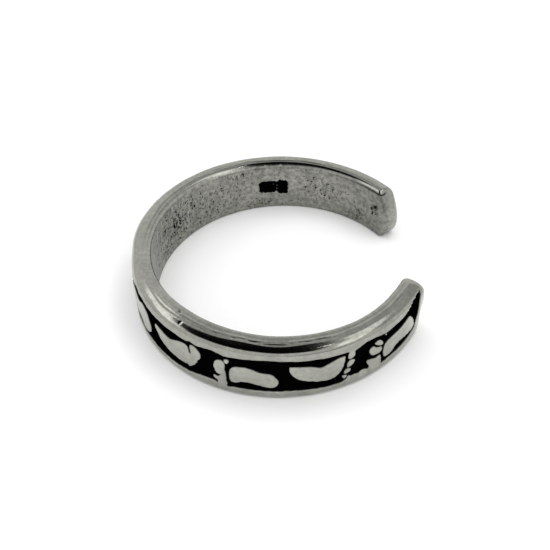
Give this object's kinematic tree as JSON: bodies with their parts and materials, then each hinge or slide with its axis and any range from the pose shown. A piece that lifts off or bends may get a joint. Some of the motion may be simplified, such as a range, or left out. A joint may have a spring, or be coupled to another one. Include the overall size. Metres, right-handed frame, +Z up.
{
  "type": "toe ring",
  "caption": "Open silver toe ring whose band holds a row of raised footprints in a dark sunk channel between two rims.",
  "frame": {"origin": "the axis of the toe opening, at the middle of the band's height", "axes": "+Z up along the toe opening; +X through the middle of the gap between the ends; +Y towards one end"},
  "size_m": [0.0177, 0.0186, 0.004],
  "materials": {
    "silver": "worn cast silver, blackened in the channel"
  },
  "bodies": {
    "root": {"ring_band": "silver"}
  },
  "joints": []
}
